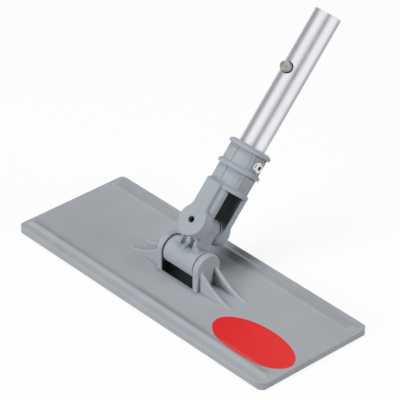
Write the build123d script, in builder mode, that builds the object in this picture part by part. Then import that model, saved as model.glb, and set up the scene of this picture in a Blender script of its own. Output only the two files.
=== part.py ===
from build123d import *
import os
from math import cos, radians, sin

# Swivel pad-holder head. Millimetres, +Z up, origin on the floor under the middle of the plate,
# X along the plate. The handle leans towards +Y, as it does when the head is put down.

# Pose of the handle
handle_lean = 42.0

# Plate with a low rail inside each long side
plate_length = 254.0
plate_width = 98.5
plate_thickness = 5.4
plate_corner = 6.0
plate_edge_round = 1.2
rail_inset = 6.0
rail_crest_inset = 9.2
rail_width = 9.0
rail_rise = 2.0
rail_crest_round = 2.0
rail_foot_blend = 3.0
rail_end_inset = 2.4
rail_end_run = 4.0
edge_break = 0.5
plate_trim = 0.05

# Hook sheet under the plate
sheet_thickness = 2.2
sheet_proud = 0.6
sheet_margin = 6.0
sheet_gap = 0.2
sheet_corner = 3.0

# Ears, their gusset ribs and the window between them
ear_gap = 32.0
ear_thickness = 5.0
ear_radius = 10.8
ear_edge_round = 1.0
axle_rise = 14.5
rib_length = 34.0
rib_thickness = 2.6
rib_spacing = 13.0
rib_edge_round = 0.8
rib_sag_along = 0.36
rib_sag_up = 0.42
window_margin = 0.5
window_width = 19.6
window_corner = 1.0

# Axle and fork pin
pin_diameter = 5.0
pin_seat_clearance = 0.02
pin_running_clearance = 0.06
pin_chamfer = 0.5
axle_blind_depth = 3.4
axle_end_gap = 0.2
fork_pin_recess = 2.0
fork_pin_bore = 3.2
fork_pin_slit = 0.9

# Knuckle
barrel_radius = 10.0
barrel_end_gap = 1.0
barrel_hub_radius = 6.5
barrel_side_play = 0.3
barrel_edge_round = 0.8
pin_rise = 24.0
lug_radius = 7.4
lug_length = 13.2
lug_side_play = 0.3
lug_rib_thickness = 3.0
lug_rib_rise = 11.2
saddle_length = 23.0
saddle_width = 16.4
saddle_rise = 8.8
saddle_blend = 4.4
saddle_clearance = 0.8
saddle_pocket_length = 4.4
saddle_pocket_depth = 4.2
saddle_pocket_floor = 6.0
saddle_pocket_top = 12.8
saddle_pocket_corner = 0.8

# Fork, measured from the fork pin along the handle
fork_slot = 16.5
fork_slot_end = 28.5
fork_boss_gap = 14.0
fork_boss_pad_inset = 0.7
fork_boss_pad_root = 1.0
fork_block_length = 18.8
fork_block_width = 29.7
fork_block_corner = 5.0
cheek_span = 35.6
cheek_neck = 13.4
near_boss_radius = 11.5
far_boss_radius = 9.2
cheek_blend = 7.0
cheek_edge_round = 1.0
cheek_top_round = 3.0

# Collar, measured from the fork pin along the handle
shoulder_rise = 30.0
ring_pitch = 15.4
ring_radius = 16.0
ring_thickness = 2.2
ring_cone = 1.6
collar_radius = 13.6
collar_rib_radius = 14.1
collar_rib_width = 2.4
collar_rib_count = 6
collar_rib_root = 1.0
socket_floor = 32.0

# Tube
tube_diameter = 20.0
tube_wall = 1.6
tube_length = 136.5
tube_seat_clearance = 0.05
tube_edge_break = 0.4

# Blind rivets through collar and tube
rivet_diameter = 4.8
rivet_clearance = 0.05
rivet_head_diameter = 9.2
rivet_head_height = 1.6
rivet_boss_diameter = 9.6
rivet_boss_height = 0.2
rivet_bulb_diameter = 6.4
rivet_bulb_height = 2.6
rivet_bulb_chamfer = 0.6
rivet_head_crown = 0.75
rivet_head_bulge = 0.7
mandrel_diameter = 3.0
mandrel_recess = 1.4
mandrel_head_diameter = 4.8
mandrel_head_height = 1.2

# Snap button and its leaf spring
button_diameter = 7.5
button_hole_diameter = 9.0
button_from_tip = 46.0
button_height = 5.7
button_nose_round = 2.6
spring_width = 6.4
spring_thickness = 0.7
spring_wall_gap = 0.15
spring_leg_above = 7.0
spring_leg_below = 22.0

# Heights and planes that follow from the sizes above
plate_bottom = sheet_proud
plate_top = plate_bottom + plate_thickness
crest_height = plate_top + rail_rise
axle_height = plate_top + axle_rise
ear_outside = ear_gap / 2 + ear_thickness
pin_radius = pin_diameter / 2
tube_radius = tube_diameter / 2
tube_bore_radius = tube_radius - tube_wall
larger_boss_radius = max(near_boss_radius, far_boss_radius)

lean = radians(handle_lean)
knuckle_plane = Plane(
    origin=(0, 0, axle_height), x_dir=(1, 0, 0), z_dir=(0, sin(lean), cos(lean))
)
# Local x is X and local y runs up the handle; the normal is the fork pin's line
side_plane = Plane(
    origin=knuckle_plane.origin, x_dir=(1, 0, 0), z_dir=-knuckle_plane.y_dir
)
# Local x is the fork pin's line and local y runs up the handle; the normal is X
axle_plane = Plane(
    origin=knuckle_plane.origin, x_dir=knuckle_plane.y_dir, z_dir=(1, 0, 0)
)
handle_line = Axis(knuckle_plane.origin, knuckle_plane.z_dir)
fork_pin_line = Axis(knuckle_plane.origin, knuckle_plane.y_dir)


def station(rise):
    """The plane square to the handle, at a height above the fork pin."""
    return knuckle_plane.offset(pin_rise + rise)


# Base plate
rail_outer_foot = plate_width / 2 - rail_inset
rail_inner_foot = rail_outer_foot - rail_width
rail_crest = plate_width / 2 - rail_crest_inset

# The outline is the plate's plan; its sections stand a trim past it, and it trims them
plate_side = plate_width / 2 + plate_trim
plate_end = plate_length / 2 + plate_trim
with BuildPart() as plate_slab:
    with BuildSketch(Plane.XY.offset(plate_bottom)):
        RectangleRounded(plate_length, plate_width, plate_corner)
    extrude(amount=crest_height)

    with BuildSketch(Plane.YZ) as plate_section:
        with BuildLine():
            Polyline(
                (0, plate_bottom),
                (plate_side - edge_break, plate_bottom),
                (plate_side, plate_bottom + edge_break),
                (plate_side, plate_top),
                (rail_outer_foot, plate_top),
                (rail_crest, crest_height),
                (rail_inner_foot, plate_top),
                (0, plate_top),
            )
            mirror(about=Plane.YZ)
        make_face()
        fillet(plate_section.vertices().group_by(Axis.Y)[-1], rail_crest_round)
        on_top = plate_section.vertices().group_by(Axis.Y)[2]
        rail_feet = on_top.sort_by(lambda v: abs(v.X))[-6:-2]
        fillet(rail_feet, rail_foot_blend)
        on_top = plate_section.vertices().group_by(Axis.Y)[2]
        top_corners = on_top.sort_by(lambda v: abs(v.X))[-2:]
        fillet(top_corners, plate_edge_round)
    extrude(amount=plate_length, both=True, mode=Mode.INTERSECT)

    with BuildSketch(Plane.XZ):
        with BuildLine():
            Polyline(
                (0, plate_bottom),
                (plate_end - edge_break, plate_bottom),
                (plate_end, plate_bottom + edge_break),
                (plate_end, plate_top - plate_edge_round),
            )
            RadiusArc(
                (plate_end, plate_top - plate_edge_round),
                (plate_end - plate_edge_round, plate_top),
                -plate_edge_round,
            )
            Polyline(
                (plate_end - plate_edge_round, plate_top),
                (plate_end - rail_end_inset, plate_top),
                (plate_end - rail_end_inset - rail_end_run, crest_height),
                (plate_end - rail_end_inset - rail_end_run, crest_height + plate_trim),
                (0, crest_height + plate_trim),
            )
            mirror(about=Plane.YZ)
        make_face()
    extrude(amount=plate_width, both=True, mode=Mode.INTERSECT)

# Ears and gusset ribs, then the slab they stand on
with BuildPart() as base_plate:
    for side in (-1, 1):
        with BuildSketch(Plane.YZ.offset(side * ear_gap / 2)):
            with Locations((0, axle_height)):
                Circle(ear_radius)
            with Locations((0, plate_bottom + sheet_thickness)):
                Rectangle(
                    2 * ear_radius,
                    axle_height - plate_bottom - sheet_thickness,
                    align=(Align.CENTER, Align.MIN),
                )
        extrude(amount=side * ear_thickness)
    ear_rims = base_plate.edges().filter_by(GeomType.CIRCLE)
    ear_rims = ear_rims.filter_by(lambda e: abs(e.radius - ear_radius) < 0.01)
    fillet(ear_rims, ear_edge_round)

    for side in (-1, 1):
        for rib_y in (-rib_spacing / 2, rib_spacing / 2):
            with BuildSketch(Plane.XZ.offset(rib_y)):
                with BuildLine():
                    rib_foot = side * (ear_outside + rib_length)
                    rib_root = side * (ear_outside - ear_edge_round)
                    Polyline(
                        (side * ear_outside, axle_height + rib_edge_round),
                        (rib_root, axle_height + rib_edge_round),
                        (rib_root, plate_top - rib_edge_round),
                        (rib_foot, plate_top - rib_edge_round),
                        (rib_foot, plate_top),
                    )
                    ThreePointArc(
                        (rib_foot, plate_top),
                        (
                            side * (ear_outside + rib_sag_along * rib_length),
                            plate_top + rib_sag_up * axle_rise,
                        ),
                        (side * ear_outside, axle_height + rib_edge_round),
                    )
                make_face()
            extrude(amount=rib_thickness / 2, both=True)

    rib_crests = base_plate.edges().filter_by(GeomType.CIRCLE)
    rib_crests = rib_crests.filter_by(lambda e: e.radius > rib_length / 2)
    fillet(rib_crests, rib_edge_round)
    add(plate_slab.part)

    with BuildSketch(Plane.XY.offset(plate_top)):
        RectangleRounded(ear_gap - 2 * window_margin, window_width, window_corner)
    extrude(amount=-plate_thickness, mode=Mode.SUBTRACT)

    with BuildSketch(Plane.XY.offset(plate_bottom)):
        RectangleRounded(
            plate_length - 2 * sheet_margin,
            plate_width - 2 * sheet_margin,
            sheet_corner,
        )
    extrude(amount=sheet_thickness - sheet_proud, mode=Mode.SUBTRACT)

    with BuildSketch(Plane.YZ.offset(-ear_outside)):
        with Locations((0, axle_height)):
            Circle(pin_radius + pin_seat_clearance)
    extrude(
        amount=ear_outside + ear_gap / 2 + axle_blind_depth, mode=Mode.SUBTRACT
    )
base_plate.part.label = "base_plate"


# Hook sheet
with BuildPart() as grip_sheet:
    with BuildSketch(Plane.XY):
        RectangleRounded(
            plate_length - 2 * (sheet_margin + sheet_gap),
            plate_width - 2 * (sheet_margin + sheet_gap),
            sheet_corner - sheet_gap,
        )
    extrude(amount=sheet_thickness)
grip_sheet.part.label = "grip_sheet"


# Axle through the ears and the barrel
with BuildPart() as axle_pin:
    with BuildSketch(Plane.YZ.offset(-ear_outside + axle_end_gap)):
        with Locations((0, axle_height)):
            Circle(pin_radius)
    extrude(
        amount=ear_outside + ear_gap / 2 + axle_blind_depth - 2 * axle_end_gap
    )
    chamfer(axle_pin.edges().filter_by(GeomType.CIRCLE), pin_chamfer)
axle_pin.part.label = "axle_pin"


# Knuckle: a barrel on the axle and a lug on the fork pin
lug_width = fork_boss_gap - 2 * lug_side_play
lug_rib_side = lug_rib_thickness / 2
with BuildPart() as swivel_knuckle:
    with BuildSketch(axle_plane):
        Circle(barrel_radius)
    extrude(amount=ear_gap / 2 - barrel_end_gap, both=True)
    fillet(swivel_knuckle.edges().filter_by(GeomType.CIRCLE), barrel_edge_round)
    with BuildSketch(axle_plane):
        Circle(barrel_hub_radius)
    extrude(amount=ear_gap / 2 - barrel_side_play, both=True)

    with BuildSketch(side_plane):
        with Locations((0, pin_rise)):
            Circle(lug_radius)
        with Locations((0, pin_rise / 2)):
            Rectangle(lug_length, pin_rise)
    extrude(amount=lug_width / 2, both=True)

    # Saddle that spreads the lug onto the barrel, hollowed to clear the fork's round ends
    with BuildSketch(side_plane) as saddle_outline:
        with Locations((0, pin_rise / 2)):
            Rectangle(lug_length, pin_rise)
        with Locations((0, saddle_rise / 2)):
            Rectangle(saddle_length, saddle_rise)
        saddle_corners = saddle_outline.vertices().group_by(handle_line)[1]
        saddle_corners = saddle_corners.sort_by(Axis.X)[1:3]
        fillet(saddle_corners, saddle_blend)
        with Locations((0, pin_rise)):
            Circle(larger_boss_radius + saddle_clearance, mode=Mode.SUBTRACT)
    extrude(amount=saddle_width / 2, both=True)

    for face in (-1, 1):
        for side in (-1, 1):
            with BuildSketch(side_plane.offset(face * saddle_width / 2)):
                with Locations(
                    (
                        side * (lug_rib_side + saddle_pocket_length / 2),
                        (saddle_pocket_floor + saddle_pocket_top) / 2,
                    )
                ):
                    RectangleRounded(
                        saddle_pocket_length,
                        saddle_pocket_top - saddle_pocket_floor,
                        saddle_pocket_corner,
                    )
            extrude(amount=-face * saddle_pocket_depth, mode=Mode.SUBTRACT)

    with BuildSketch(axle_plane):
        with BuildLine():
            Polyline(
                (0, 0),
                (barrel_radius, 0),
                (barrel_radius, lug_rib_rise / 2),
                (lug_width / 2, lug_rib_rise),
                (0, lug_rib_rise),
            )
            mirror(about=Plane.YZ)
        make_face()
    extrude(amount=lug_rib_side, both=True)

    with BuildSketch(axle_plane):
        Circle(pin_radius + pin_running_clearance)
    extrude(amount=ear_gap, both=True, mode=Mode.SUBTRACT)
    with BuildSketch(side_plane):
        with Locations((0, pin_rise)):
            Circle(pin_radius + pin_running_clearance)
    extrude(amount=cheek_span, both=True, mode=Mode.SUBTRACT)
swivel_knuckle.part.label = "swivel_knuckle"


# Handle socket: fork below, ribbed collar above
ring_rises = [shoulder_rise, shoulder_rise + ring_pitch, shoulder_rise + 2 * ring_pitch]
collar_top = ring_rises[-1] + ring_thickness / 2 + ring_cone
rivet_rise = shoulder_rise + 1.5 * ring_pitch
rivet_seat = collar_radius + rivet_boss_height
cheek_rise = shoulder_rise + ring_thickness / 2
# Each arm's side of the fork and the radius of its round end
fork_ends = ((1, near_boss_radius), (-1, far_boss_radius))
with BuildPart() as handle_socket:
    for side, boss_radius in fork_ends:
        with BuildSketch(side_plane) as cheek_outline:
            with Locations((0, pin_rise + cheek_rise / 2)):
                Rectangle(cheek_neck, cheek_rise)
            with Locations((0, pin_rise)):
                Circle(boss_radius)
            inner_corners = cheek_outline.vertices().sort_by(handle_line)[:2]
            fillet(inner_corners, cheek_blend)
            top_corners = cheek_outline.vertices().sort_by(handle_line)[-2:]
            fillet(top_corners, cheek_top_round)
        extrude(amount=side * cheek_span / 2)
    across = handle_socket.faces().filter_by(fork_pin_line).sort_by(fork_pin_line)
    cheek_rims = across[0].edges() + across[-1].edges()
    fillet(cheek_rims, cheek_edge_round)

    with BuildSketch(station(0)):
        RectangleRounded(fork_block_length, fork_block_width, fork_block_corner)
    extrude(amount=shoulder_rise)

    with BuildSketch(station(shoulder_rise)):
        Circle(collar_radius)
    extrude(amount=collar_top - shoulder_rise)
    with BuildSketch(station(shoulder_rise)):
        with PolarLocations(
            (collar_radius + collar_rib_radius - collar_rib_root) / 2,
            collar_rib_count,
            start_angle=180 / collar_rib_count,
        ):
            Rectangle(
                collar_rib_radius - collar_radius + collar_rib_root, collar_rib_width
            )
    extrude(amount=2 * ring_pitch)
    for rise in ring_rises:
        with BuildSketch(axle_plane):
            with BuildLine():
                Polyline(
                    (0, pin_rise + rise - ring_thickness / 2),
                    (ring_radius, pin_rise + rise - ring_thickness / 2),
                    (ring_radius, pin_rise + rise + ring_thickness / 2),
                    (collar_radius, pin_rise + rise + ring_thickness / 2 + ring_cone),
                    (0, pin_rise + rise + ring_thickness / 2 + ring_cone),
                    close=True,
                )
            make_face()
        revolve(axis=handle_line)

    for side in (-1, 1):
        rivet_plane = Plane(
            station(rivet_rise).origin, x_dir=knuckle_plane.y_dir, z_dir=(side, 0, 0)
        )
        with BuildSketch(rivet_plane.offset(tube_radius + tube_wall)):
            Circle(rivet_boss_diameter / 2)
        extrude(amount=rivet_seat - tube_radius - tube_wall)

    with BuildSketch(station(fork_slot_end)):
        Rectangle(2 * ring_radius, fork_slot)
    extrude(amount=-fork_slot_end - 2 * larger_boss_radius, mode=Mode.SUBTRACT)
    for side, boss_radius in fork_ends:
        with BuildSketch(side_plane.offset(side * fork_boss_gap / 2)):
            with Locations((0, pin_rise)):
                Circle(boss_radius - fork_boss_pad_inset)
        extrude(amount=side * ((fork_slot - fork_boss_gap) / 2 + fork_boss_pad_root))
    with BuildSketch(station(socket_floor)):
        Circle(tube_radius + tube_seat_clearance)
    extrude(amount=collar_top, mode=Mode.SUBTRACT)
    with BuildSketch(side_plane):
        with Locations((0, pin_rise)):
            Circle(pin_radius + pin_seat_clearance)
    extrude(amount=cheek_span, both=True, mode=Mode.SUBTRACT)
    with BuildSketch(Plane(station(rivet_rise).origin, x_dir=knuckle_plane.y_dir, z_dir=(1, 0, 0))):
        Circle(rivet_diameter / 2 + rivet_clearance)
    extrude(amount=ring_radius, both=True, mode=Mode.SUBTRACT)
handle_socket.part.label = "handle_socket"


# Slotted spring pin through the fork
with BuildPart() as fork_pin:
    with BuildSketch(side_plane):
        with Locations((0, pin_rise)):
            Circle(pin_radius)
            Circle(fork_pin_bore / 2, mode=Mode.SUBTRACT)
        with Locations((0, pin_rise + pin_radius)):
            Rectangle(fork_pin_slit, pin_diameter, mode=Mode.SUBTRACT)
    extrude(amount=cheek_span / 2 - fork_pin_recess, both=True)
fork_pin.part.label = "fork_pin"


# Aluminium stub tube
button_rise = socket_floor + tube_length - button_from_tip
with BuildPart() as adapter_tube:
    with BuildSketch(station(socket_floor)):
        Circle(tube_radius)
        Circle(tube_bore_radius, mode=Mode.SUBTRACT)
    extrude(amount=tube_length)
    chamfer(adapter_tube.edges().filter_by(GeomType.CIRCLE), tube_edge_break)
    with BuildSketch(Plane(station(rivet_rise).origin, x_dir=knuckle_plane.y_dir, z_dir=(1, 0, 0))):
        Circle(rivet_diameter / 2 + rivet_clearance)
    extrude(amount=tube_diameter, both=True, mode=Mode.SUBTRACT)
    with BuildSketch(side_plane):
        with Locations((0, pin_rise + button_rise)):
            Circle(button_hole_diameter / 2)
    extrude(amount=tube_diameter, mode=Mode.SUBTRACT)
adapter_tube.part.label = "adapter_tube"


# Blind rivets, one each side, with the mandrel left in each
rivet_radius = rivet_diameter / 2
bulb_outer = (tube_bore_radius**2 - (rivet_bulb_diameter / 2) ** 2) ** 0.5 - rivet_clearance
bulb_inner = bulb_outer - rivet_bulb_height
head_top = rivet_seat + rivet_head_height
mandrel_radius = mandrel_diameter / 2
with BuildPart() as tube_rivets:
    for side in (-1, 1):
        rivet_section = Plane(
            station(rivet_rise).origin,
            x_dir=(side, 0, 0),
            z_dir=side * knuckle_plane.y_dir,
        )
        with BuildSketch(rivet_section):
            with BuildLine():
                Polyline(
                    (head_top, mandrel_radius),
                    (bulb_inner, mandrel_radius),
                    (bulb_inner, rivet_bulb_diameter / 2 - rivet_bulb_chamfer),
                    (bulb_inner + rivet_bulb_chamfer, rivet_bulb_diameter / 2),
                    (bulb_outer, rivet_bulb_diameter / 2),
                    (bulb_outer, rivet_radius),
                    (rivet_seat, rivet_radius),
                    (rivet_seat, rivet_head_diameter / 2),
                )
                ThreePointArc(
                    (rivet_seat, rivet_head_diameter / 2),
                    (
                        rivet_seat + rivet_head_crown * rivet_head_height,
                        (rivet_head_diameter / 2 + mandrel_radius) / 2 + rivet_head_bulge,
                    ),
                    (head_top, mandrel_radius),
                )
            make_face()
        revolve(axis=Axis(rivet_section.origin, rivet_section.x_dir))
tube_rivets.part.label = "tube_rivets"

with BuildPart() as rivet_mandrels:
    for side in (-1, 1):
        mandrel_plane = Plane(
            station(rivet_rise).origin, x_dir=knuckle_plane.y_dir, z_dir=(side, 0, 0)
        )
        with BuildSketch(mandrel_plane.offset(bulb_inner)):
            Circle(mandrel_radius - pin_seat_clearance)
        extrude(amount=head_top - mandrel_recess - bulb_inner)
        with BuildSketch(mandrel_plane.offset(bulb_inner - pin_seat_clearance)):
            Circle(mandrel_head_diameter / 2)
        extrude(amount=-mandrel_head_height)
        with BuildSketch(mandrel_plane.offset(bulb_inner - pin_seat_clearance)):
            Circle(mandrel_radius - pin_seat_clearance)
        extrude(amount=pin_seat_clearance)
rivet_mandrels.part.label = "rivet_mandrels"


# U-shaped leaf spring in the tube, and the button on its leg
spring_outside = (tube_bore_radius**2 - (spring_width / 2) ** 2) ** 0.5 - spring_wall_gap
spring_inside = spring_outside - spring_thickness
spring_top = pin_rise + button_rise + spring_leg_above
spring_bend = pin_rise + button_rise - spring_leg_below
with BuildPart() as button_spring:
    with BuildSketch(axle_plane):
        with Locations((0, spring_bend)):
            Circle(spring_outside)
            Rectangle(
                2 * spring_outside,
                spring_top - spring_bend,
                align=(Align.CENTER, Align.MIN),
            )
            Circle(spring_inside, mode=Mode.SUBTRACT)
            Rectangle(
                2 * spring_inside,
                spring_top - spring_bend,
                align=(Align.CENTER, Align.MIN),
                mode=Mode.SUBTRACT,
            )
    extrude(amount=spring_width / 2, both=True)
button_spring.part.label = "button_spring"

with BuildPart() as snap_button:
    with BuildSketch(side_plane.offset(spring_outside)):
        with Locations((0, pin_rise + button_rise)):
            Circle(button_diameter / 2)
    extrude(amount=tube_radius + button_height - spring_outside)
    nose = snap_button.edges().filter_by(GeomType.CIRCLE)
    nose = nose.sort_by(Axis(side_plane.origin, side_plane.z_dir))[-1]
    fillet(nose, button_nose_round)
snap_button.part.label = "snap_button"


os.makedirs("parts", exist_ok=True)
for piece in (
    base_plate,
    grip_sheet,
    axle_pin,
    swivel_knuckle,
    handle_socket,
    fork_pin,
    adapter_tube,
    tube_rivets,
    rivet_mandrels,
    button_spring,
    snap_button,
):
    export_step(piece.part, f"parts/{piece.part.label}.step")
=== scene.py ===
import math

import bmesh
import bpy
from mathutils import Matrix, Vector
from mathutils.bvhtree import BVHTree


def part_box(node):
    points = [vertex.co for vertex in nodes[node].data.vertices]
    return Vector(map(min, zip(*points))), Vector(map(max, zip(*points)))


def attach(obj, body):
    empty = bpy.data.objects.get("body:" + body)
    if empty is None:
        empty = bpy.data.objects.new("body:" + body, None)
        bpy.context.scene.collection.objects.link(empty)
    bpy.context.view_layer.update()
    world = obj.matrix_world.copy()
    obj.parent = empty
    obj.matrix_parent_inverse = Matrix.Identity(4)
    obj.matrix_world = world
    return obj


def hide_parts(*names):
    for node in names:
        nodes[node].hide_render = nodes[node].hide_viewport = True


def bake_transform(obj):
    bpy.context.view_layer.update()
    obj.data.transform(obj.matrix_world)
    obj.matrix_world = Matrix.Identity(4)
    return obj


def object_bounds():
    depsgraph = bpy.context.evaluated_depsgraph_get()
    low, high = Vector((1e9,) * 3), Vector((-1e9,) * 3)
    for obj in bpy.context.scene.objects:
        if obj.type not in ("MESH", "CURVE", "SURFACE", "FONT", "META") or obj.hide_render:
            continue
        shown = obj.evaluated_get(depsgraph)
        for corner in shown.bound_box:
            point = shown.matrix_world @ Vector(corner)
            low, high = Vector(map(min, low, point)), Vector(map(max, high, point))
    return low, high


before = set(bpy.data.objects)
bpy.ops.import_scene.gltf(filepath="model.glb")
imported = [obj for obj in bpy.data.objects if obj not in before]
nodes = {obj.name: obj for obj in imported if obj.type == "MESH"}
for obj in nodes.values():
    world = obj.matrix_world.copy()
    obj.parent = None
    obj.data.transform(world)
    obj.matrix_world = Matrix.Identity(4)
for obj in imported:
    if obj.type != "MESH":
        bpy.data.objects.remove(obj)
cad_low, cad_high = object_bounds()
MM = 0.001
UP = Vector((0.0, 0.0, 1.0))

# Rest pose: the ways up the handle, along the fork pin and along the axle, and the axle's middle
HANDLE_LEAN = math.radians(42.0)
HANDLE_DIR = Vector((0.0, math.sin(HANDLE_LEAN), math.cos(HANDLE_LEAN)))
FORK_PIN_DIR = Vector((0.0, math.cos(HANDLE_LEAN), -math.sin(HANDLE_LEAN)))
AXLE_DIR = Vector((1.0, 0.0, 0.0))
AXLE_CENTRE = Vector((0.0, 0.0, 20.5 * MM))

# Places of the sockets on a node that mixes colours: factor, first and second colour, then result
MIX_INPUTS = (0, 6, 7)
MIX_RESULT = 2

# The range that most of a noise texture's values lie in
NOISE_LOW = 0.3
NOISE_HIGH = 0.7

BEVEL_SAMPLES = 4


# Colours
def srgb(red, green, blue):
    """Linear colour of an 8-bit sRGB one, by the standard curve."""
    def channel(value):
        value = value / 255.0
        if value <= 0.04045:
            return value / 12.92
        return ((value + 0.055) / 1.055) ** 2.4
    return (channel(red), channel(green), channel(blue), 1.0)


def scaled(colour, factor):
    return tuple(c * factor for c in colour[:3]) + (1.0,)


WHITE = (1.0, 1.0, 1.0, 1.0)
PLATE_GREY = srgb(163, 167, 172)
JOINT_GREY = srgb(160, 166, 174)


# Node helpers
def new_material(name):
    material = bpy.data.materials.new(name)
    material.use_nodes = True
    tree = material.node_tree
    return material, tree, tree.nodes["Principled BSDF"]


def add(tree, kind, inputs=None, **settings):
    """A node with its settings; an input is a value or another node's output."""
    node = tree.nodes.new(kind)
    for key, value in settings.items():
        setattr(node, key, value)
    for key, value in (inputs or {}).items():
        if isinstance(value, bpy.types.NodeSocket):
            tree.links.new(value, node.inputs[key])
        else:
            node.inputs[key].default_value = value
    return node


def object_coords(tree):
    return add(tree, "ShaderNodeTexCoord").outputs["Object"]


def noise(tree, vector, scale, detail, roughness=0.5):
    return add(
        tree,
        "ShaderNodeTexNoise",
        {"Vector": vector, "Scale": scale, "Detail": detail, "Roughness": roughness},
    ).outputs["Fac"]


def remap(tree, value, low, high, from_low=NOISE_LOW, from_high=NOISE_HIGH):
    return add(
        tree,
        "ShaderNodeMapRange",
        {
            "Value": value,
            "From Min": from_low,
            "From Max": from_high,
            "To Min": low,
            "To Max": high,
        },
    ).outputs["Result"]


def uneven(tree, place, scale, low, high, detail=3.0):
    """A value that drifts between two limits over a surface."""
    return remap(tree, noise(tree, place, scale, detail), low, high)


def mix_colour(tree, factor, first, second):
    values = dict(zip(MIX_INPUTS, (factor, first, second)))
    return add(tree, "ShaderNodeMix", values, data_type="RGBA").outputs[MIX_RESULT]


def math_node(tree, operation, first, second=0.0):
    return add(
        tree, "ShaderNodeMath", {0: first, 1: second}, operation=operation
    ).outputs[0]


def product(tree, value, *others):
    for other in others:
        value = math_node(tree, "MULTIPLY", value, other)
    return value


def vector_node(tree, operation, first, second):
    return add(
        tree, "ShaderNodeVectorMath", {0: first, 1: second}, operation=operation
    ).outputs


def bump(tree, bsdf, height, strength, distance, normal=None):
    inputs = {"Height": height, "Strength": strength, "Distance": distance}
    if normal is not None:
        inputs["Normal"] = normal
    node = add(tree, "ShaderNodeBump", inputs)
    tree.links.new(node.outputs["Normal"], bsdf.inputs["Normal"])


def edge_mask(tree, radius, low, high):
    """1 on a shape's edges and 0 on its flats, with the rounded normal."""
    bevel = add(tree, "ShaderNodeBevel", {"Radius": radius}, samples=BEVEL_SAMPLES)
    soft = bevel.outputs["Normal"]
    plain = add(tree, "ShaderNodeNewGeometry").outputs["Normal"]
    dot = vector_node(tree, "DOT_PRODUCT", soft, plain)["Value"]
    turned = math_node(tree, "SUBTRACT", 1.0, dot)
    return remap(tree, turned, 0.0, 1.0, low, high), soft


def to_camera_and_shine(tree):
    """1 for rays from the camera, off metal and through clear things, and 0 for the rest."""
    path = add(tree, "ShaderNodeLightPath").outputs
    shine = math_node(tree, "MAXIMUM", path["Is Glossy Ray"], path["Is Transmission Ray"])
    return math_node(tree, "MAXIMUM", path["Is Camera Ray"], shine)


def glow(tree, colour):
    return add(tree, "ShaderNodeEmission", {"Color": colour, "Strength": 1.0}).outputs["Emission"]


def show(tree, shader):
    tree.links.new(shader, tree.nodes["Material Output"].inputs["Surface"])


# Painted shade on the plate: a dark line up the inner side of each rail, and near-black round the
# window's walls, where shade falls
RAIL_LINE = 38.0 * MM
RAIL_LINE_FULL = 1.0 * MM
RAIL_LINE_REACH = 3.2 * MM
RAIL_LINE_END = 118.0 * MM
RAIL_LINE_FADE = 4.0 * MM
RAIL_SHADE_MOST = 0.37
RAIL_SHADE_COLOUR = scaled(PLATE_GREY, 0.4)
RAIL_LINE_PATCHES = 70.0
RAIL_LINE_THINNEST = 0.75
WINDOW_SHADE_HALF = (16.2 * MM, 9.9 * MM)
WINDOW_SHADE_FULL_BELOW = 12.0 * MM
WINDOW_SHADE_NONE_ABOVE = 20.0 * MM
WINDOW_SHADE_MOST = 0.95
WINDOW_SHADE_COLOUR = scaled(PLATE_GREY, 0.03)


def plate_painted_shade(tree, place, base):
    """A base colour with painted shade on the plate: a dark line along each rail's inner foot and
    near-black round the window's walls.
    """
    spot = add(tree, "ShaderNodeSeparateXYZ", {0: place}).outputs
    along = math_node(tree, "ABSOLUTE", spot["X"])
    out = math_node(tree, "ABSOLUTE", spot["Y"])
    off_line = math_node(tree, "ABSOLUTE", math_node(tree, "SUBTRACT", out, RAIL_LINE))
    # A patchy dark line along each rail's inner foot, stopping short of the ends: painted shade
    line = product(
        tree,
        remap(tree, off_line, RAIL_SHADE_MOST, 0.0, RAIL_LINE_FULL, RAIL_LINE_REACH),
        remap(tree, along, 1.0, 0.0, RAIL_LINE_END, RAIL_LINE_END + RAIL_LINE_FADE),
        uneven(tree, place, RAIL_LINE_PATCHES, RAIL_LINE_THINNEST, 1.0),
    )
    # Near-black on the window's walls and the ears' inner faces below the axle: painted shade
    window_shade = product(
        tree,
        math_node(tree, "LESS_THAN", along, WINDOW_SHADE_HALF[0]),
        math_node(tree, "LESS_THAN", out, WINDOW_SHADE_HALF[1]),
        remap(tree, spot["Z"], WINDOW_SHADE_MOST, 0.0, WINDOW_SHADE_FULL_BELOW, WINDOW_SHADE_NONE_ABOVE),
    )
    base = mix_colour(tree, line, base, RAIL_SHADE_COLOUR)
    return mix_colour(tree, window_shade, base, WINDOW_SHADE_COLOUR)


def on_handle(tree, place):
    """A place's distance from the handle's line along the fork pin, and its rise from the axle."""
    from_axle = vector_node(tree, "SUBTRACT", place, AXLE_CENTRE)["Vector"]
    across = vector_node(tree, "DOT_PRODUCT", from_axle, FORK_PIN_DIR)["Value"]
    rise = vector_node(tree, "DOT_PRODUCT", from_axle, HANDLE_DIR)["Value"]
    return math_node(tree, "ABSOLUTE", across), rise


# Painted shade on the inner sides of the fork's slot: a dark green-grey where the slot lies in deep
# shade; rises are from the axle
SLOT_HALF = 8.4 * MM
SLOT_TOP = 52.65 * MM
SLOT_UNSHADED_BELOW = 28.0 * MM
SLOT_FULL_ABOVE = 34.0 * MM
SLOT_SHADE_MOST = 0.6
SLOT_SHADE_COLOUR = srgb(36, 56, 36)


def slot_painted_shade(tree, place, base):
    """A base colour with painted shade on the slot's inner sides."""
    across, rise = on_handle(tree, place)
    # Dark green-grey on the slot's inner sides, growing up the slot: painted shade
    slot_shade = product(
        tree,
        math_node(tree, "LESS_THAN", across, SLOT_HALF),
        math_node(tree, "LESS_THAN", rise, SLOT_TOP),
        remap(tree, rise, 0.0, SLOT_SHADE_MOST, SLOT_UNSHADED_BELOW, SLOT_FULL_ABOVE),
    )
    return mix_colour(tree, slot_shade, base, SLOT_SHADE_COLOUR)


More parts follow.
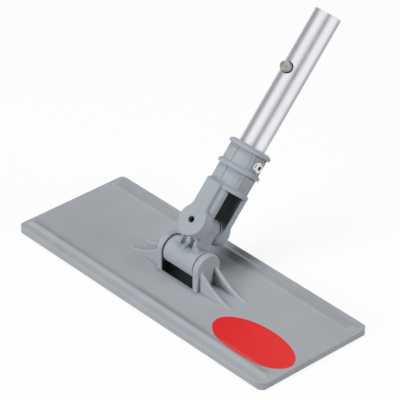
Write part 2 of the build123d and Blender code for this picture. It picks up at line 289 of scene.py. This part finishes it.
# Painted light in the knuckle's pockets: patches of near-white that lighten their shade; their range
# along the axle, along the fork pin and in rise
POCKET_ALONG = (1.6 * MM, 6.0 * MM)
POCKET_ACROSS = (3.9 * MM, 7.6 * MM)
POCKET_RISE = (5.9 * MM, 12.9 * MM)
POCKET_LIGHT_PATCHES = 260.0
POCKET_LIGHT_COVER = (0.65, 0.9)
POCKET_LIGHT_COLOUR = srgb(228, 230, 233)


def pocket_painted_light(tree, place, base):
    """A base colour with painted light in the pockets."""
    across, rise = on_handle(tree, place)
    spot = add(tree, "ShaderNodeSeparateXYZ", {0: place}).outputs
    along = math_node(tree, "ABSOLUTE", spot["X"])
    # Patchy near-white in the pockets: painted light that lifts their shade
    pocket_light = uneven(tree, place, POCKET_LIGHT_PATCHES, *POCKET_LIGHT_COVER)
    ranges = ((along, POCKET_ALONG), (across, POCKET_ACROSS), (rise, POCKET_RISE))
    for value, (low, high) in ranges:
        above = math_node(tree, "GREATER_THAN", value, low)
        below = math_node(tree, "LESS_THAN", value, high)
        pocket_light = product(tree, pocket_light, above, below)
    return mix_colour(tree, pocket_light, base, POCKET_LIGHT_COLOUR)


# Moulded plastic: noise scales, then tints of its colour and how far they go, then gloss and grain
PLASTIC_CLOUDS = 38.0
PLASTIC_SPECKLE = 1400.0
PLASTIC_SHEEN = 120.0
PLASTIC_GRAIN = 2600.0
PLASTIC_GRAIN_ROUGHNESS = 0.6
PLASTIC_CLOUD_TINTS = (0.955, 1.035)
PLASTIC_SPECKLE_TINT = 0.72
PLASTIC_SPECKLE_MOST = 0.1
PLASTIC_EDGE_RADIUS = 0.45 * MM
PLASTIC_EDGE_RANGE = (0.02, 0.3)
# The paler edges stand for rubbed wear and also paint a highlight along them
PLASTIC_WEAR_AND_HIGHLIGHT_TINT = 1.5
PLASTIC_WEAR_AND_HIGHLIGHT_MOST = 0.22
PLASTIC_ROUGHNESS = (0.38, 0.52)
PLASTIC_SPECULAR = 0.18
PLASTIC_BUMP = 0.10
PLASTIC_BUMP_DEPTH = 0.12 * MM


def moulded_plastic(name, colour, painted_shading):
    """Moulded plastic with a fine spark-eroded grain, edges rubbed a little paler that also paint a
    highlight on them, and the painted shading of the given function.
    """
    material, tree, bsdf = new_material(name)
    place = object_coords(tree)
    cloud = uneven(tree, place, PLASTIC_CLOUDS, 0.0, 1.0)
    speckle = uneven(tree, place, PLASTIC_SPECKLE, 0.0, PLASTIC_SPECKLE_MOST, detail=2.0)
    edges, soft_normal = edge_mask(tree, PLASTIC_EDGE_RADIUS, *PLASTIC_EDGE_RANGE)
    # Paler edges: rubbed wear and a painted highlight
    worn_and_highlit = product(tree, edges, PLASTIC_WEAR_AND_HIGHLIGHT_MOST)
    base = mix_colour(tree, cloud, *(scaled(colour, tint) for tint in PLASTIC_CLOUD_TINTS))
    base = mix_colour(tree, speckle, base, scaled(colour, PLASTIC_SPECKLE_TINT))
    base = mix_colour(tree, worn_and_highlit, base, scaled(colour, PLASTIC_WEAR_AND_HIGHLIGHT_TINT))
    # The given function paints shade (plate, socket) or light (knuckle pockets) into the base colour
    tree.links.new(painted_shading(tree, place, base), bsdf.inputs["Base Color"])
    gloss = uneven(tree, place, PLASTIC_SHEEN, *PLASTIC_ROUGHNESS)
    tree.links.new(gloss, bsdf.inputs["Roughness"])
    bsdf.inputs["Specular IOR Level"].default_value = PLASTIC_SPECULAR
    grain = noise(tree, place, PLASTIC_GRAIN, detail=2.0, roughness=PLASTIC_GRAIN_ROUGHNESS)
    bump(tree, bsdf, grain, PLASTIC_BUMP, PLASTIC_BUMP_DEPTH, soft_normal)
    return material


# Drawn metal: noise scales, then what its draw lines and its handling marks do to colour and gloss
METAL_LINES = 1900.0
METAL_LINE_STRETCH = 80.0
METAL_MARKS = 95.0
METAL_NOISE_ROUGHNESS = 0.6
METAL_LINE_TINT = 0.86
METAL_LINE_ROUGHNESS = (-0.03, 0.05)
METAL_MARK_TINT = 0.88
METAL_MARK_RANGE = (0.56, 0.75)
METAL_MARK_MOST = 0.35
METAL_DULL_RANGE = (0.5, 0.75)
METAL_DULL_MOST = 0.06
METAL_BUMP = 0.02
METAL_BUMP_DEPTH = 0.03 * MM


def drawn_metal(name, colour, axis, roughness, grain=0.5):
    """Bare metal with draw lines along an axis and a few dull handling marks."""
    material, tree, bsdf = new_material(name)
    place = object_coords(tree)
    along = add(
        tree,
        "ShaderNodeMapping",
        {
            "Vector": place,
            "Rotation": tuple(UP.rotation_difference(axis).to_euler()),
            "Scale": (1.0, 1.0, METAL_LINE_STRETCH),
        },
        vector_type="TEXTURE",
    ).outputs["Vector"]
    lines = noise(tree, along, METAL_LINES, detail=3.0, roughness=METAL_NOISE_ROUGHNESS)
    marks = noise(tree, place, METAL_MARKS, detail=4.0, roughness=METAL_NOISE_ROUGHNESS)
    lined = remap(tree, lines, 0.0, grain)
    marked = remap(tree, marks, 0.0, METAL_MARK_MOST, *METAL_MARK_RANGE)
    base = mix_colour(tree, lined, colour, scaled(colour, METAL_LINE_TINT))
    base = mix_colour(tree, marked, base, scaled(colour, METAL_MARK_TINT))
    tree.links.new(base, bsdf.inputs["Base Color"])
    bsdf.inputs["Metallic"].default_value = 1.0
    gloss = math_node(
        tree,
        "ADD",
        remap(tree, lines, *(roughness + change for change in METAL_LINE_ROUGHNESS)),
        remap(tree, marks, 0.0, METAL_DULL_MOST, *METAL_DULL_RANGE),
    )
    tree.links.new(gloss, bsdf.inputs["Roughness"])
    bump(tree, bsdf, lines, METAL_BUMP, METAL_BUMP_DEPTH)
    return material


# Hook nylon: its knit, with tints of its colour on the threads and in the gaps, and its gloss
KNIT_SCALE = 620.0
KNIT_RANDOMNESS = 0.35
KNIT_RANGE = (0.1, 0.6)
KNIT_TINTS = (1.5, 0.6)
KNIT_BUMP = 0.5
KNIT_BUMP_DEPTH = 0.3 * MM
NYLON_SHEEN = 300.0
NYLON_ROUGHNESS = (0.55, 0.8)


def hook_nylon(name, colour):
    """Dark nylon with a coarse knit."""
    material, tree, bsdf = new_material(name)
    place = object_coords(tree)
    knit = add(
        tree,
        "ShaderNodeTexVoronoi",
        {"Vector": place, "Scale": KNIT_SCALE, "Randomness": KNIT_RANDOMNESS},
    ).outputs["Distance"]
    dips = remap(tree, knit, 0.0, 1.0, *KNIT_RANGE)
    base = mix_colour(tree, dips, *(scaled(colour, tint) for tint in KNIT_TINTS))
    tree.links.new(base, bsdf.inputs["Base Color"])
    gloss = uneven(tree, place, NYLON_SHEEN, *NYLON_ROUGHNESS, detail=2.0)
    tree.links.new(gloss, bsdf.inputs["Roughness"])
    bump(tree, bsdf, knit, KNIT_BUMP, KNIT_BUMP_DEPTH)
    return material


# Label vinyl: noise scales of its ink and its gloss, and their limits
INK_SCALE = 160.0
INK_TINTS = (0.97, 1.03)
VINYL_SHEEN = 420.0
VINYL_ROUGHNESS = (0.36, 0.50)


def label_vinyl(name, colour):
    """Vinyl that is slightly uneven in its ink and its gloss."""
    material, tree, bsdf = new_material(name)
    place = object_coords(tree)
    ink = uneven(tree, place, INK_SCALE, 0.0, 1.0)
    base = mix_colour(tree, ink, *(scaled(colour, tint) for tint in INK_TINTS))
    tree.links.new(base, bsdf.inputs["Base Color"])
    gloss = uneven(tree, place, VINYL_SHEEN, *VINYL_ROUGHNESS, detail=2.0)
    tree.links.new(gloss, bsdf.inputs["Roughness"])
    return material


# A finish for every node of the frame
finishes = {
    "base_plate": moulded_plastic("plate_plastic", PLATE_GREY, plate_painted_shade),
    "swivel_knuckle": moulded_plastic("knuckle_plastic", JOINT_GREY, pocket_painted_light),
    "handle_socket": moulded_plastic("socket_plastic", JOINT_GREY, slot_painted_shade),
    "grip_sheet": hook_nylon("hook_sheet", srgb(30, 53, 56)),
    "axle_pin": drawn_metal("axle_steel", srgb(150, 151, 154), AXLE_DIR, roughness=0.32),
    "fork_pin": drawn_metal("pin_steel", srgb(118, 118, 120), FORK_PIN_DIR, roughness=0.36),
    "adapter_tube": drawn_metal(
        "tube_aluminium", srgb(246, 247, 253), HANDLE_DIR, roughness=0.38, grain=0.35
    ),
    "tube_rivets": drawn_metal(
        "rivet_aluminium", srgb(226, 226, 228), AXLE_DIR, roughness=0.28, grain=0.3
    ),
    "rivet_mandrels": drawn_metal(
        "mandrel_steel", srgb(96, 95, 94), AXLE_DIR, roughness=0.42, grain=0.4
    ),
    "button_spring": drawn_metal("spring_steel", srgb(92, 94, 99), HANDLE_DIR, roughness=0.34),
    "snap_button": drawn_metal(
        "button_steel", srgb(188, 185, 182), FORK_PIN_DIR, roughness=0.48, grain=0.4
    ),
}
for name, material in finishes.items():
    mesh = nodes[name].data
    mesh.materials.clear()
    mesh.materials.append(material)


def mesh_object(name, verts, faces, material):
    mesh = bpy.data.meshes.new(name)
    mesh.from_pydata(verts, [], faces)
    mesh.update()
    mesh.materials.append(material)
    made = bpy.data.objects.new(name, mesh)
    bpy.context.scene.collection.objects.link(made)
    return made


# Oval label on the plate's +X end, which runs up the rail's flank. Its edge goes up through
# rings, each a share of its half sizes and a share of its thickness.
LABEL_CENTRE = (88.5 * MM, -20.7 * MM)
LABEL_HALF = (36.0 * MM, 17.9 * MM)
LABEL_THICK = 0.14 * MM
LABEL_EDGE = ((1.0, 0.0), (1.0, 0.6), (0.997, 0.88))
LABEL_LIP = 0.991
LABEL_RINGS = 24
LABEL_SIDES = 160


def plate_surface():
    """A function for the height of the plate's top under a place."""
    mesh = nodes["base_plate"].data
    tree = BVHTree.FromPolygons(
        [v.co for v in mesh.vertices], [tuple(p.vertices) for p in mesh.polygons]
    )

    def height(x, y):
        return tree.ray_cast(Vector((x, y, cad_high[2])), -UP)[0].z

    return height


def oval_label(material):
    """A thin closed sheet that follows the plate's top."""
    surface = plate_surface()
    shares = [LABEL_LIP * (1.0 - i / LABEL_RINGS) for i in range(LABEL_RINGS)]
    rings = [(share, 0.0) for share in reversed(shares)]
    rings += LABEL_EDGE
    rings += [(share, 1.0) for share in shares]
    verts = []
    for share, lift in rings:
        for i in range(LABEL_SIDES):
            angle = 2 * math.pi * i / LABEL_SIDES
            x = LABEL_CENTRE[0] + share * LABEL_HALF[0] * math.cos(angle)
            y = LABEL_CENTRE[1] + share * LABEL_HALF[1] * math.sin(angle)
            verts.append((x, y, surface(x, y) + lift * LABEL_THICK))
    last = len(verts) - LABEL_SIDES
    under, over = len(verts), len(verts) + 1
    verts.append((*LABEL_CENTRE, surface(*LABEL_CENTRE)))
    verts.append((*LABEL_CENTRE, surface(*LABEL_CENTRE) + LABEL_THICK))
    faces = []
    for i in range(LABEL_SIDES):
        j = (i + 1) % LABEL_SIDES
        for low in range(0, last, LABEL_SIDES):
            high = low + LABEL_SIDES
            faces.append((low + i, low + j, high + j, high + i))
        faces.append((j, i, under))
        faces.append((last + i, last + j, over))
    made = mesh_object("oval_label", verts, faces, material)
    made.data.shade_smooth()
    return made


label = oval_label(label_vinyl("label_red", srgb(216, 20, 22)))
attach(label, "plate")

# Hook sheet under the plate: a backing with rows of mushroom hooks, in the place of its solid.
# A hook's rings below its root are a radius and a height, as a share of its cap's, above its end.
HOOK_PITCH = 4.0 * MM
HOOK_HEIGHT = 0.6 * MM
HOOK_ROOT = 0.1 * MM
HOOK_STEM = 0.42 * MM
HOOK_FOOT = 1.4 * HOOK_STEM
HOOK_CAP = 0.85 * MM
HOOK_CAP_SHARE = 0.45
HOOK_RINGS = ((HOOK_STEM, 1.3), (HOOK_CAP, 0.8), (HOOK_CAP * 0.9, 0.35), (HOOK_CAP * 0.45, 0.0))
HOOK_SIDES = 6
SHEET_CORNER = 2.8 * MM
SHEET_CORNER_STEPS = 6


def ring_of(mesh, centre, radius, z):
    turn = 2 * math.pi / HOOK_SIDES
    return [
        mesh.verts.new((
            centre[0] + radius * math.cos(i * turn),
            centre[1] + radius * math.sin(i * turn),
            z,
        ))
        for i in range(HOOK_SIDES)
    ]


def add_hook(mesh, centre, low, high):
    """One hook that hangs from high: a stem that flares into a cap with a domed end at low."""
    cap = HOOK_CAP_SHARE * (high - low)
    rings = [ring_of(mesh, centre, HOOK_FOOT, z) for z in (high + HOOK_ROOT, high)]
    rings += [ring_of(mesh, centre, radius, low + share * cap) for radius, share in HOOK_RINGS]
    for upper, lower in zip(rings, rings[1:]):
        for i in range(HOOK_SIDES):
            j = (i + 1) % HOOK_SIDES
            mesh.faces.new((upper[j], upper[i], lower[i], lower[j]))
    mesh.faces.new(rings[0])
    mesh.faces.new(list(reversed(rings[-1])))


def add_backing(mesh, low, high):
    """A slab with round plan corners between two opposite corners."""
    outline = []
    for corner in range(4):
        sign_x = 1 if corner in (0, 3) else -1
        sign_y = 1 if corner in (0, 1) else -1
        middle_x = (high[0] if sign_x > 0 else low[0]) - sign_x * SHEET_CORNER
        middle_y = (high[1] if sign_y > 0 else low[1]) - sign_y * SHEET_CORNER
        for step in range(SHEET_CORNER_STEPS + 1):
            angle = math.pi / 2 * (corner + step / SHEET_CORNER_STEPS)
            outline.append((
                middle_x + SHEET_CORNER * math.cos(angle),
                middle_y + SHEET_CORNER * math.sin(angle),
            ))
    bottom = [mesh.verts.new((x, y, low[2])) for x, y in outline]
    top = [mesh.verts.new((x, y, high[2])) for x, y in outline]
    mesh.faces.new(list(reversed(bottom)))
    mesh.faces.new(top)
    for i in range(len(outline)):
        j = (i + 1) % len(outline)
        mesh.faces.new((bottom[i], bottom[j], top[j], top[i]))


def hook_field(material):
    """The backing, with hooks in staggered rows that keep a pitch from its sides."""
    low, high = (Vector(corner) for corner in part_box("grip_sheet"))
    root = low.z + HOOK_HEIGHT
    mesh = bmesh.new()
    add_backing(mesh, Vector((low.x, low.y, root)), high)
    row_step = HOOK_PITCH * math.sqrt(3) / 2
    rows = int((high.y - low.y - 2 * HOOK_PITCH) / row_step)
    columns = int((high.x - low.x - 2 * HOOK_PITCH) / HOOK_PITCH)
    middle = (low + high) / 2
    for row in range(rows + 1):
        y = middle.y + (row - rows / 2) * row_step
        in_row = columns + row % 2
        for column in range(in_row):
            x = middle.x + (column - (in_row - 1) / 2) * HOOK_PITCH
            add_hook(mesh, (x, y), low.z, root)
    made = mesh_object("hook_field", [], [], material)
    mesh.to_mesh(made.data)
    mesh.free()
    return made


hooks = hook_field(finishes["grip_sheet"])
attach(hooks, "plate")
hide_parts("grip_sheet")

# Leaf spring in the tube: a bent strip drawn at rest, whose near leg goes down with the button in the
# real part.
# Rises are from the axle.
SPRING_OUTSIDE = 7.6166 * MM
SPRING_THICK = 0.7 * MM
SPRING_INSIDE = SPRING_OUTSIDE - SPRING_THICK
SPRING_WIDTH = 6.4 * MM
SPRING_BEND_RISE = 124.5 * MM
SPRING_TOP_RISE = 153.5 * MM
SPRING_EDGE = 0.12 * MM
SPRING_LEG_STEPS = 8
SPRING_BEND_STEPS = 32


def spring_path():
    """Places down the near leg, round the bend and up the far leg, each with its way outwards."""
    near, up = -FORK_PIN_DIR, HANDLE_DIR
    bend = AXLE_CENTRE + SPRING_BEND_RISE * up
    leg = SPRING_TOP_RISE - SPRING_BEND_RISE
    rises = [leg * (1.0 - i / SPRING_LEG_STEPS) for i in range(SPRING_LEG_STEPS)]
    path = [(bend + rise * up, near) for rise in rises]
    for i in range(SPRING_BEND_STEPS + 1):
        angle = math.pi * i / SPRING_BEND_STEPS
        path.append((bend, math.cos(angle) * near - math.sin(angle) * up))
    path.extend((bend + rise * up, -near) for rise in reversed(rises))
    return path


def spring_section():
    """Corners of the strip's section with its edges broken, as places outwards and along the axle."""
    half = SPRING_WIDTH / 2
    corners = []
    for out, side in ((1, 1), (1, -1), (-1, -1), (-1, 1)):
        edge = SPRING_OUTSIDE if out > 0 else SPRING_INSIDE
        on_face = (edge, side * (half - SPRING_EDGE))
        on_side = (edge - out * SPRING_EDGE, side * half)
        corners.extend((on_side, on_face) if out == side else (on_face, on_side))
    return corners


def leaf_spring(material):
    """The strip's section carried along its path, with both ends closed."""
    section = spring_section()
    verts = [
        base + out * away + side * AXLE_DIR
        for base, away in spring_path()
        for out, side in section
    ]
    size = len(section)
    last = len(verts) - size
    faces = [tuple(reversed(range(size))), tuple(range(last, len(verts)))]
    for low in range(0, last, size):
        for i in range(size):
            j = (i + 1) % size
            faces.append((low + i, low + j, low + size + j, low + size + i))
    return mesh_object("leaf_spring", verts, faces, material)


spring = leaf_spring(finishes["button_spring"])
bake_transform(spring)
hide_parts("button_spring")

# White floor that keeps a soft shadow
FLOOR_HALF = 6.0
FLOOR_DROP = 0.2 * MM
FLOOR_GREY = 0.9
FLOOR_BOUNCE = 0.35
FLOOR_WHITE = 0.90
FLOOR_ROUGHNESS = 0.9


def floor_material():
    """White to the camera and in metal, apart from the shadow, and dull in the light it sends back."""
    material, tree, bsdf = new_material("floor_white")
    seen = to_camera_and_shine(tree)
    tint = mix_colour(tree, seen, scaled(WHITE, FLOOR_BOUNCE), scaled(WHITE, FLOOR_GREY))
    tree.links.new(tint, bsdf.inputs["Base Color"])
    bsdf.inputs["Roughness"].default_value = FLOOR_ROUGHNESS
    bsdf.inputs["Specular IOR Level"].default_value = 0.0
    mix = add(
        tree,
        "ShaderNodeMixShader",
        {
            0: product(tree, seen, FLOOR_WHITE),
            1: bsdf.outputs["BSDF"],
            2: glow(tree, WHITE),
        },
    )
    show(tree, mix.outputs["Shader"])
    return material


def flat_square(name, centre, across, up, material):
    """A rectangle about a centre, from its two half sides."""
    corners = ((-1, -1), (1, -1), (1, 1), (-1, 1))
    verts = [centre + a * across + b * up for a, b in corners]
    made = mesh_object(name, verts, [(0, 1, 2, 3)], material)
    return made


flat_square(
    "floor",
    Vector((0.0, 0.0, -FLOOR_DROP)),
    Vector((FLOOR_HALF, 0.0, 0.0)),
    Vector((0.0, FLOOR_HALF, 0.0)),
    floor_material(),
)

# Surroundings: white to the camera and in metal, an even level of light elsewhere
WORLD_LEVEL = 0.03
world = bpy.data.worlds.new("studio")
bpy.context.scene.world = world
world.use_nodes = True
sky = world.node_tree
background = sky.nodes["Background"]
background.inputs["Color"].default_value = WHITE
sky.links.new(
    remap(sky, to_camera_and_shine(sky), WORLD_LEVEL, 1.0, 0.0, 1.0),
    background.inputs["Strength"],
)

# Cards and lamps stand about the object's middle
OBJECT_MIDDLE = Vector((0.0, 0.06, 0.08))
LAMP_DISTANCE = 1.6
LAMP_SIZE = 0.6


def studio_card(name, direction, distance, width, height, grey):
    """A grey card that only shine sees: it draws a darker band along the tube."""
    material, tree, _ = new_material(name)
    show(tree, glow(tree, scaled(WHITE, grey)))
    away = Vector(direction).normalized()
    side = away.cross(HANDLE_DIR).normalized()
    card = flat_square(
        name,
        OBJECT_MIDDLE + distance * away,
        side * width / 2,
        away.cross(side) * height / 2,
        material,
    )
    card.visible_camera = False
    card.visible_diffuse = False
    card.visible_shadow = False


def area_light(name, direction, level, size=LAMP_SIZE):
    """A round soft lamp; level is what it adds to a white surface that faces it."""
    data = bpy.data.lights.new(name, "AREA")
    data.shape = "DISK"
    data.size = size
    data.energy = level * (math.pi * LAMP_DISTANCE) ** 2
    lamp = bpy.data.objects.new(name, data)
    away = Vector(direction).normalized()
    lamp.location = OBJECT_MIDDLE + LAMP_DISTANCE * away
    lamp.rotation_mode = "QUATERNION"
    lamp.rotation_quaternion = (-away).to_track_quat("-Z", "Y")
    lamp.visible_glossy = False
    bpy.context.scene.collection.objects.link(lamp)


studio_card(
    "front_card", (0.745, -0.466, 0.478), distance=1.2, width=0.62, height=1.6, grey=0.10
)
studio_card("left_card", (-0.93, -0.27, 0.24), distance=1.2, width=1.55, height=1.6, grey=0.30)
studio_card("back_card", (0.30, 0.69, -0.60), distance=0.12, width=0.12, height=0.8, grey=0.42)
area_light("front", (0.0, -0.978, 0.208), level=0.56)
area_light("key", (-0.20, -0.76, 0.62), level=0.32)
area_light("top", (-0.07, 0.07, 0.99), level=0.50)
area_light("side", (0.94, 0.27, 0.21), level=0.54)
area_light("back", (-0.45, 0.88, 0.14), level=0.18, size=0.8)

# Camera: placed and aimed as in the photograph
CAM_TARGET = Vector((0.0, 0.0, 0.020))
CAM_BACK = Vector((0.6168, -0.5495, 0.5635)).normalized()
CAM_DISTANCE = 1.8
CAM_SENSOR = 36.0
CAM_LENS = 235.5
AIM_RIGHT = 0.00451
AIM_UP = 0.021905
camera_data = bpy.data.cameras.new("camera")
camera_data.sensor_width = CAM_SENSOR
camera_data.lens = CAM_LENS
camera = bpy.data.objects.new("camera", camera_data)
bpy.context.scene.collection.objects.link(camera)
level = (-CAM_BACK).to_track_quat("-Z", "Y")
right, up = level @ Vector((1.0, 0.0, 0.0)), level @ Vector((0.0, 1.0, 0.0))
aim = -CAM_BACK + AIM_RIGHT * right + AIM_UP * up
camera.rotation_mode = "QUATERNION"
camera.rotation_quaternion = (-CAM_BACK).rotation_difference(aim) @ level
camera.location = CAM_TARGET + CAM_DISTANCE * CAM_BACK
bpy.context.scene.camera = camera
bpy.context.scene.view_settings.view_transform = "Standard"
